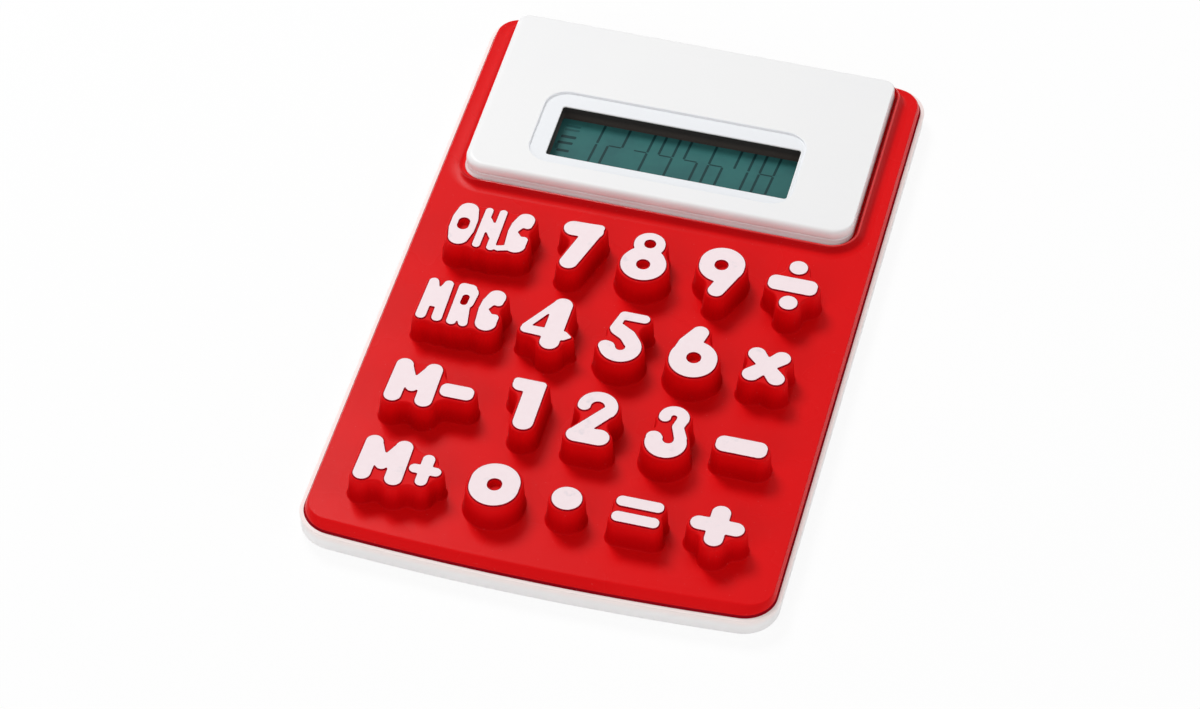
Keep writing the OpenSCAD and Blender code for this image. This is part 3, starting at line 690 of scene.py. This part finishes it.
def level_loops(field, centre, level, reach=9.5, cell=0.12, spacing=0.2):
    """Closed level lines with the inside on their left, evenly spaced."""
    n = int(2 * reach / cell)
    grid = (np.arange(n) - n / 2) * cell
    x, y = np.meshgrid(grid + centre[0], grid + centre[1], indexing="ij")
    d = field(np.stack([x.ravel(), y.ravel()], 1)).reshape(n, n) - level
    low = (d < 0).astype(int)
    code = low[:-1, :-1] + 2 * low[1:, :-1] + 4 * low[1:, 1:] + 8 * low[:-1, 1:]
    follow = {}
    for i, j in np.argwhere((code > 0) & (code < 15)):
        side = {"B": ("x", i, j), "T": ("x", i, j + 1), "L": ("y", i, j), "R": ("y", i + 1, j)}
        turns = TURNS[int(code[i, j])]
        for a, b in zip(turns[::2], turns[1::2]):
            follow[side[a]] = side[b]
    loops = []
    while follow:
        start, here = next(iter(follow.items()))
        del follow[start]
        trail = [start]
        while here != start:
            trail.append(here)
            here = follow.pop(here)
        spots = []
        for way, i, j in trail:
            i2, j2 = (i + 1, j) if way == "x" else (i, j + 1)
            t = d[i, j] / (d[i, j] - d[i2, j2])
            spots.append((x[i, j] + t * (x[i2, j2] - x[i, j]), y[i, j] + t * (y[i2, j2] - y[i, j])))
        loops.append(even(np.array(spots), spacing))
    return [carry(field, loop, [level])[0] for loop in loops]


def even(loop, spacing):
    """The same closed line with points at an even distance."""
    closed = np.concatenate([loop, loop[:1]])
    run = np.concatenate([[0], np.cumsum(np.hypot(*np.diff(closed, axis=0).T))])
    marks = np.linspace(0, run[-1], max(FEWEST, int(run[-1] / spacing)), endpoint=False)
    return np.stack([np.interp(marks, run, closed[:, 0]), np.interp(marks, run, closed[:, 1])], 1)


def carry(field, points, levels):
    """The points moved along the slope of the field to each level in turn."""
    rings, p = [], points.copy()
    for level in levels:
        for _ in range(TRIES):
            here = field(p)
            trial = p + slope_of(field, p) * np.clip(level - here, -STRIDE, STRIDE)[:, None]
            better = np.abs(field(trial) - level) < np.abs(here - level) - 1e-5
            p = np.where(better[:, None], trial, p)
        rings.append(p.copy())
    return rings


def to_segment(p, a, b):
    t = np.clip(((p - a) * (b - a)).sum(1) / ((b - a) ** 2).sum(1), 0, 1)[:, None]
    return np.hypot(*(p - a - t * (b - a)).T)


def closed_figure(figure, centre, fill, spacing):
    """The distance to the figure with its gaps closed: drawn back by fill from the line that lies fill outside."""
    loops = level_loops(figure, centre, fill, reach=11.5, spacing=spacing)
    line = np.concatenate(loops)
    ahead, behind = (np.concatenate([np.roll(loop, way, 0) for loop in loops]) for way in (-1, 1))
    tree = KDTree(len(line))
    for i, (x, y) in enumerate(line):
        tree.insert((x, y, 0), i)
    tree.balance()

    def closed(points):
        near = [tree.find((x, y, 0))[1] for x, y in points]
        gap = np.minimum(to_segment(points, line[near], ahead[near]), to_segment(points, line[near], behind[near]))
        return np.where(figure(points) < fill, fill - gap, fill + gap)
    return closed


def draw_figure(key):
    """A key's centre and three distances: to its print, to its eyes and to its body with the gaps closed."""
    centre, figure, eye = figure_field(key)
    soft = closed_figure(figure, centre, NOTCH, spacing=0.1)

    def printed(points):
        return np.maximum(soft(points), -eye(points))
    return centre, printed, eye, closed_figure(figure, centre, FILL, spacing=0.2)


figures = {key: draw_figure(key) for key in KEYS}
print("the first key has", len(level_loops(figures["on"][1], figures["on"][0], 0.0)), "outlines on",
      len(level_loops(figures["on"][3], figures["on"][0], 0.3)), "body")

# %% [markdown]
# ## Red key mat
# The mat lies on the base and leaves a narrow white ledge all round. Its edge is a broad soft slope over a small
# undercut, whose faces are painted dark red as painted shade where the mat meets the base. A low ridge runs round
# the display housing with a groove between the two; its slopes are painted darker red, as painted shade.
# All of them are stacks of outlines. Behind the display the housing ends at the edge, so the ridge fades there,
# and it is lower on the left. The mat's top reaches a little way into each key, so that no slit opens when the
# key goes down.

# %% Mat with its ridge
MAT_TOP = 5.3
BEZEL_W, BEZEL_L, BEZEL_R, BACK_R, BEZEL_X = 67.8, 41.8, 4.0, 2.6, -0.45
# The foot's faces are painted in the dark red of the print edges, as painted shade where the mat meets the base.
MAT_FOOT = [(0.64, 3.6), (0.66, 3.65), (0.72, 3.67), (0.86, 3.69), (0.91, 3.74), (0.9, 4.0)]
MAT_EDGE = [(0.9, 4.0), (0.91, 4.14), (0.96, 4.26), (1.06, 4.38), (1.4, 4.66), (1.9, 5.06), (2.03, 5.16),
            (2.14, 5.23), (2.28, 5.28), (2.45, MAT_TOP)]
RIDGE = [(-0.1, 5.6), (0.15, 5.6), (0.3, 5.7), (0.42, 5.94), (0.54, 6.22), (0.66, 6.38), (0.8, 6.43), (0.94, 6.4),
         (1.07, 6.3), (1.21, 6.13), (1.4, 5.92), (1.65, 5.71), (1.95, 5.54), (2.3, 5.41), (2.6, 5.335),
         (2.9, MAT_TOP)]
BACK_RIDGE, LEFT_RIDGE, LEFT_SPAN = 0.1, 0.18, (-34.4, -30)
SIDE_SLOPE, TUCK = 0.3, 0.6


def ridge_outline(grow):
    """The housing's outline grown by a distance, and by far less at the back, where the housing ends the mat."""
    back = BACK_RIDGE * grow
    return rounded(BEZEL_W + 2 * grow, BEZEL_L + grow + back, BEZEL_R + grow, BEZEL_Y + (back - grow) / 2, 14,
                   BEZEL_X, BACK_R + grow)


def ridge_height(outline, z):
    """The ridge is lower along the left side."""
    return MAT_TOP + (z - MAT_TOP) * np.interp(outline[:, 0], LEFT_SPAN, (LEFT_RIDGE, 1))


def mat_outline(margin):
    """The case's outline drawn in by a margin, with a steeper slope at the two sides than at the front."""
    outline, foot = body_outline(margin), MAT_EDGE[0][0]
    side = foot + SIDE_SLOPE * (margin - foot)
    outline[:, 0] *= (BASE_W / 2 - side) / (BASE_W / 2 - margin)
    return outline


def build_mat():
    shell = Shell()
    # The foot is painted dark red, as painted shade where the mat meets the base.
    shell.wall(body_outline, MAT_FOOT, 1)
    shell.wall(mat_outline, MAT_EDGE)
    ridge = [(ridge_outline(grow), z) for grow, z in RIDGE]
    shell.stack([shell.ring(p, ridge_height(p, z)) for p, z in ridge][::-1])
    gaps = [ridge[-1][0]]
    for centre, _, _, body in figures.values():
        gaps += level_loops(body, centre, TUCK, spacing=0.25)
    shell.plate(mat_outline(MAT_EDGE[-1][0]), gaps, MAT_TOP)
    return shell.piece("key_mat", [red_silicone, red_edge], "case", "red_silicone", ["keypad_mat"])


mat = build_mat()
print("mat:", len(mat.data.polygons), "faces")

# %% [markdown]
# ## Display bezel
# The housing is a hard white moulding: a rounded top stands on a sloping apron with a fine ledge at its foot and
# a groove above it, and a shallow panel is sunk around the window. Each edge that the light meets gets a small
# radius, because no moulded edge is truly sharp.

# %% Bezel
BEZEL_TOP, PANEL_Z, ROOF_Z = 8.15, 7.75, 6.55
WINDOW_W, WINDOW_L, WINDOW_R, WINDOW_Y = 42.04, 12.5, 0.5, 33.45
PANEL_W, PANEL_L, PANEL_R, PANEL_X, PANEL_Y = WINDOW_W + 3.9, WINDOW_L + 5.5, 3.9, -1.2, 34.05
APRON = [(0.0, MAT_TOP), (0.0, 5.42), (0.03, 5.52), (0.1, 5.62), (0.3, 5.82), (0.41, 5.9), (0.46, 6.0), (0.5, 6.3),
         (0.53, 6.42), (0.58, 6.47), (0.66, 6.49), (0.7, 6.55), (0.66, 6.62), (0.56, 6.65), (0.53, 6.72), (0.54, 6.9)]
TOP_EDGE, GROOVE = 1.55, 0.7
LEFT_SHARE, RIGHT_SHARE, CORNER_SHARE, TAPER = 0.25, 0.2, 0.6, 0.3
BROW, COVE, LIP = 0.16, 0.16, 0.12


def bezel_outline(inset):
    """The housing's outline drawn in by an inset; its sides are steeper, and the left leans out to the back."""
    left = LEFT_SHARE * inset + (1 - LEFT_SHARE) * max(0.0, inset - GROOVE)
    right = RIGHT_SHARE * inset
    tighter = CORNER_SHARE * inset
    outline = rounded(BEZEL_W - left - right, BEZEL_L - 2 * inset, BEZEL_R - tighter, BEZEL_Y, 14,
                      BEZEL_X + (left - right) / 2, BACK_R - tighter)
    outline[:, 0] -= TAPER * (outline[:, 1] - BEZEL_Y) / BEZEL_L * (outline[:, 0] < 0)
    return outline


def panel_outline(grow):
    return rounded(PANEL_W + 2 * grow, PANEL_L + 2 * grow, PANEL_R + grow, PANEL_Y, 12, PANEL_X)


def window_outline(grow):
    return rounded(WINDOW_W + 2 * grow, WINDOW_L + 2 * grow, WINDOW_R + grow, WINDOW_Y, 12)


def build_bezel():
    shell = Shell()
    shoulder = quarter_round(APRON[-1], (TOP_EDGE, BEZEL_TOP), 10, level_first=False)
    shell.wall(bezel_outline, APRON + shoulder[1:])
    brow = quarter_round((BROW, BEZEL_TOP), (0.0, BEZEL_TOP - BROW), 6, level_first=True)
    cove = quarter_round((0.0, PANEL_Z + COVE), (-COVE, PANEL_Z), 6, level_first=False)
    shell.wall(panel_outline, (brow + cove)[::-1], 1)
    lip = quarter_round((LIP, PANEL_Z), (0.0, PANEL_Z - LIP), 6, level_first=True)
    shell.wall(window_outline, (lip + [(0.0, ROOF_Z)])[::-1])
    shell.plate(bezel_outline(TOP_EDGE), [panel_outline(BROW)], BEZEL_TOP)
    shell.plate(panel_outline(-COVE), [window_outline(LIP)], PANEL_Z, 1)
    return shell.piece("bezel", [white_plastic, panel_plastic], "case", "white_plastic", ["display_bezel"])


bezel = build_bezel()
print("bezel:", len(bezel.data.polygons), "faces")

# %% [markdown]
# ## Liquid crystal display
# Behind the window a dark foam frame presses on the glass, and the polariser shows the grey-green of an unlit
# display. The faint digits are liquid crystal seen at an angle. Each digit is seven thin bars that lean slightly,
# laid just above the polariser so that they keep a crisp edge at any distance. The foam is black higher up and
# painted a lighter brown near the glass, as painted light at the soft edge of the shadow in the window.

# %% Display foam, film and segments
FILM_Z, SEGMENT_LIFT = 4.95, 0.012
LINING = [(0.01, PANEL_Z - 0.2), (-0.02, PANEL_Z - 0.24), (-0.02, FILM_Z)]
# Both ends of each bar, in digit widths and half digits.
SEGMENTS = {"a": (0, 2, 1, 2), "b": (1, 1, 1, 2), "c": (1, 0, 1, 1), "d": (0, 0, 1, 0),
            "e": (0, 0, 0, 1), "f": (0, 1, 0, 2), "g": (0, 1, 1, 1)}
LIT = ["bc", "abdeg", "abcdg", "bcfg", "acdfg", "acdefg", "abcf", "abcdefg"]
DIGIT_W, HALF_DIGIT, DIGIT_STEP, DIGIT_MID, FIRST_RIGHT = 2.45, 4.95, 4.44, 34.93, -13.85
LEAN, PEN_UP, PEN_ACROSS, BAR_GAP, BAR_TIP = 0.09, 0.22, 0.15, 0.08, 0.14
# Marks at the left: both ends, half the pen's width and the number of the paint.
SIGNS = [(-20.4, 35.2, -17.5, 35.25, 0.36, 0), (-20.5, 33.6, -17.6, 33.7, 0.32, 0),
         (-20.0, 31.65, -17.6, 31.7, 0.32, 0), (-20.3, 33.4, -20.1, 31.8, 0.28, 1),
         (-20.4, 38.0, -17.6, 37.95, 0.26, 1), (-20.3, 37.0, -17.5, 37.1, 0.26, 1)]


def foam(name):
    paint = new_paint(name)
    cells = paint.noise(3000, 3, 0.7)
    base = paint.mix(cells, (0.004, 0.004, 0.004, 1), (0.02, 0.015, 0.013, 1))
    # Painted light: lighter brown below 5.6 mm and black above 6.8 mm, for the soft edge of the shadow in the window.
    base = paint.mix(paint.above(5.6, 6.8), tone(62, 54, 50), base)
    return paint.finish(Base_Color=base, Roughness=0.7 + 0.2 * cells,
                        Normal=paint.bump(cells, strength=0.5, depth=0.1))


def display_film(name, colour, shade, roughness=0.3):
    paint = new_paint(name)
    cloud = paint.ramp(paint.noise(160, 3, 0.6), 0.35, 0.7)
    grain = paint.noise(5000, 2)
    base = paint.mix(cloud, colour, shade)
    base = paint.mix(grain * 0.12, base, (0.02, 0.06, 0.06, 1))
    return paint.finish(Base_Color=base, Roughness=roughness + 0.1 * cloud, Specular_IOR_Level=0.12,
                        Normal=paint.bump(grain, strength=0.04, depth=0.03))


black_foam = foam("black_foam")
grey_green = display_film("grey_green_film", tone(52, 108, 106), tone(46, 98, 98))
dark_segment = display_film("dark_segment", tone(20, 58, 60), tone(17, 50, 52))
faint_segment = display_film("faint_segment", tone(38, 86, 86), tone(34, 78, 78))


def build_lining():
    shell = Shell()
    shell.wall(window_outline, LINING)
    return shell.piece("window_foam", [black_foam], "case", "black_foam", ["lcd_gasket"])


def build_segments():
    shell = Shell()

    def bar(x0, y0, x1, y1, half, paint=0):
        a, b = np.array([x0, y0]), np.array([x1, y1])
        along = (b - a) / np.linalg.norm(b - a)
        side = np.array([-along[1], along[0]]) * half
        a, b = a + along * BAR_GAP, b - along * BAR_GAP
        tip = along * min(half, BAR_TIP)
        loop = np.array([a, a + tip - side, b - tip - side, b, b - tip + side, a + tip + side])
        loop[:, 0] += LEAN * (loop[:, 1] - DIGIT_MID)
        shell.face(shell.ring(loop, FILM_Z + SEGMENT_LIFT), paint)

    for place, lit in enumerate(LIT):
        left, low = FIRST_RIGHT + place * DIGIT_STEP - DIGIT_W, DIGIT_MID - HALF_DIGIT
        for name in lit:
            x0, y0, x1, y1 = SEGMENTS[name]
            bar(left + x0 * DIGIT_W, low + y0 * HALF_DIGIT, left + x1 * DIGIT_W, low + y1 * HALF_DIGIT,
                PEN_UP if x0 == x1 else PEN_ACROSS)
    for sign in SIGNS:
        bar(*sign)
    return shell.piece("lcd_digits", [dark_segment, faint_segment], "case", "polariser")


lining, segments = build_lining(), build_segments()
print("display:", len(lining.data.polygons), "faces of foam,", len(segments.data.polygons), "segments")

# %% [markdown]
# ## Keys
# Each key is a soft red body whose outline follows the figure with its gaps closed. The figure stands on it as a
# low step with a dark edge and the white print on top, and an eye is a shallow pit. The shoulder of the body is
# round, which catches a thin line of light, and its foot spreads into the mat. The key rides on its own press
# joint, and the foot dips below the mat as it goes down. A point of a ring that a narrow notch holds back takes
# the height that belongs to where it stopped.

# %% Keys
KEY_TOP, SHELF = 10.2, 10.0
STEP = [(0.0, KEY_TOP), (0.04, 10.19), (0.09, 10.16), (0.13, 10.11), (0.16, 10.05), (0.18, SHELF)]
PIT = [(0.18, SHELF), (0.2, 9.7), (0.25, 9.35), (0.33, 9.2), (0.42, 9.15)]
BODY = [(0.24, 9.985), (0.33, 9.945), (0.41, 9.88), (0.47, 9.785), (0.51, 9.66), (0.56, 9.3), (0.65, 8.1),
        (0.74, 6.9), (0.79, 6.2), (0.83, 5.85), (0.88, 5.62), (0.95, 5.45), (1.03, 5.33), (1.12, 5.24), (1.16, 5.1)]
CROWN = [(STEP[-1][0], SHELF), BODY[0]]
SLACK = 0.01


def heights(profile, field, points):
    levels, z = zip(*profile)
    return np.interp(field(points), levels, z)


def lay(shell, field, loop, profile, paint=0):
    """The rings of a profile round a loop, as a wall; gives back its innermost and outermost outline."""
    rings = carry(field, loop, [level for level, _ in profile])
    shell.stack([shell.ring(p, heights(profile, field, p)) for p in rings][::-1], paint)
    return rings[0], rings[-1]


def clockwise(loop):
    x, y = loop.T
    return np.sum(np.roll(x, -1) * y - x * np.roll(y, -1)) > 0


def build_key(name):
    centre, printed, eye, body = figures[name]
    shell, crown, steps, sides = Shell(), [], [], []
    for loop in level_loops(printed, centre, 0.0, spacing=0.16):
        top, foot = lay(shell, printed, loop, STEP, 1)
        crown.append(top)
        if clockwise(loop) and eye(loop.mean(0)[None])[0] < 0:
            _, bottom = lay(shell, printed, foot, PIT)
            shell.fill([bottom], PIT[-1][1], inside(bottom))
        else:
            steps.append(foot)
    shell.fill(crown, KEY_TOP, lambda p: printed(p) < 0, 2)
    for loop in level_loops(body, centre, BODY[0][0], cell=0.16):
        sides.append(lay(shell, body, loop, BODY)[0])
    shell.fill(sides + steps, lambda p: heights(STEP, printed, p) + heights(CROWN, body, p) - SHELF,
               lambda p: (body(p) < BODY[0][0]) & (printed(p) > STEP[-1][0] - SLACK) & (eye(p) > 0))
    # The key silicone paints the lower walls darker red, as painted shade.
    return shell.piece("figure_" + name, [key_silicone, red_edge, white_ink], "key_" + name, "red_silicone",
                       ["key_" + name])


print("keys:", sum(len(build_key(name).data.polygons) for name in KEYS), "faces")

# %% [markdown]
# ## Plain CAD pieces
# The polariser, rear cover, battery door and the pieces inside keep their CAD shape. They still get a real finish
# each: grained plastic, plated steel, green solder mask, glass. Metal needs only a slight change of roughness to
# look handled.

# %% Finishes for the rest
def plated(name, colour, roughness):
    paint = new_paint(name)
    haze = paint.noise(900, 3)
    base = paint.mix(haze * 0.3, colour, tone(150, 150, 152))
    return paint.finish(Base_Color=base, Metallic=1.0, Roughness=roughness + 0.15 * haze,
                        Normal=paint.bump(haze, strength=0.05, depth=0.05))


def plain_film(name, colour, shade, roughness):
    paint = new_paint(name)
    haze = paint.noise(700, 3)
    return paint.finish(Base_Color=paint.mix(haze, colour, shade), Roughness=roughness + 0.1 * haze,
                        Normal=paint.bump(haze, strength=0.06, depth=0.05))


steel = plated("plated_steel", tone(205, 206, 208), 0.25)
glass = plain_film("display_glass", tone(150, 176, 170), tone(138, 166, 160), 0.08)
carbon = plain_film("carbon_rubber", tone(34, 34, 34), tone(20, 20, 20), 0.65)
NODE_PAINT = {
    "lcd_polariser": grey_green, "lcd_front_glass": glass, "lcd_rear_glass": glass, "lcd_pad": black_foam,
    "lcd_reflector": plain_film("silvered_film", tone(198, 204, 196), tone(176, 184, 174), 0.3),
    "rear_cover": white_plastic, "battery_door": white_plastic, "screws": steel,
    "positive_contact": steel, "negative_contact": steel,
    "button_cell": plated("cell_steel", tone(222, 222, 222), 0.16),
    "contact_film": plain_film("printed_film", tone(214, 218, 210), tone(196, 200, 190), 0.3),
    "circuit_board": plain_film("solder_mask", tone(30, 98, 58), tone(22, 82, 46), 0.35),
    "chip_cover": plain_film("cast_resin", tone(24, 24, 26), tone(14, 14, 16), 0.4),
    "zebra_strip": plain_film("layered_rubber", tone(200, 140, 150), tone(120, 60, 70), 0.6),
    **{"pill_" + name: carbon for name in KEYS},
}
for name, paint in NODE_PAINT.items():
    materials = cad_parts[name].data.materials
    materials.clear()
    materials.append(paint)
print(len(NODE_PAINT), "CAD nodes painted")
